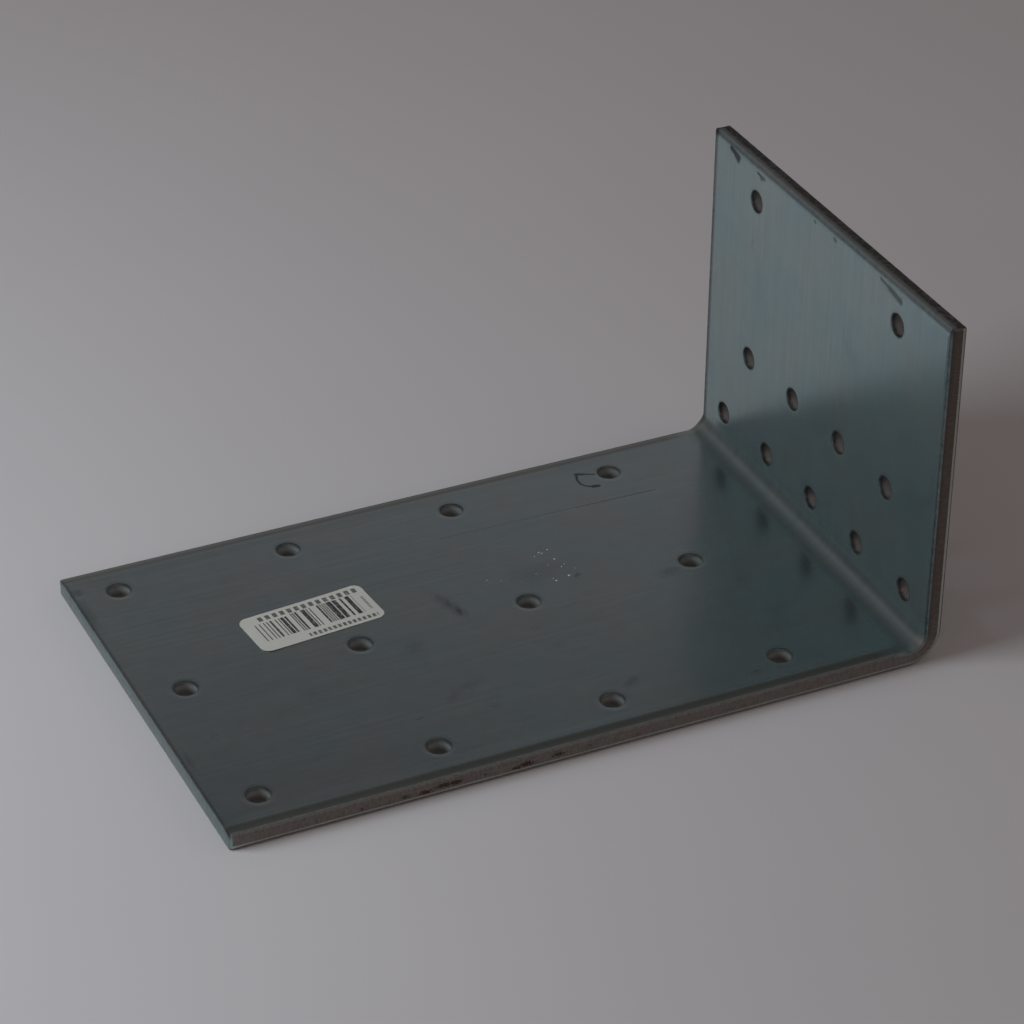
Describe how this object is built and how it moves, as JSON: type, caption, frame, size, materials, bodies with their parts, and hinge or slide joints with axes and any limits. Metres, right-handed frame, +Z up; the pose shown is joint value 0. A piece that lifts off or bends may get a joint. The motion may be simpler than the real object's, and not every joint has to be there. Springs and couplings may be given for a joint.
{
  "type": "corner brace bracket",
  "caption": "Heavy angle bracket folded once from a punched steel strip, for screwing timber or boards together at a right angle.",
  "frame": {"origin": "under the centre of the overall box, on the plane of the long leg's outside face", "axes": "+X along the long leg from its free end to the heel, +Y across the strip, +Z up the short leg"},
  "size_m": [0.16, 0.1, 0.08],
  "materials": {
    "galvanised_steel": "zinc-coated, satin, with bare sheared edges",
    "label_paper": null
  },
  "bodies": {
    "root": {"bracket": "galvanised_steel", "paper_label": "label_paper"}
  },
  "joints": []
}
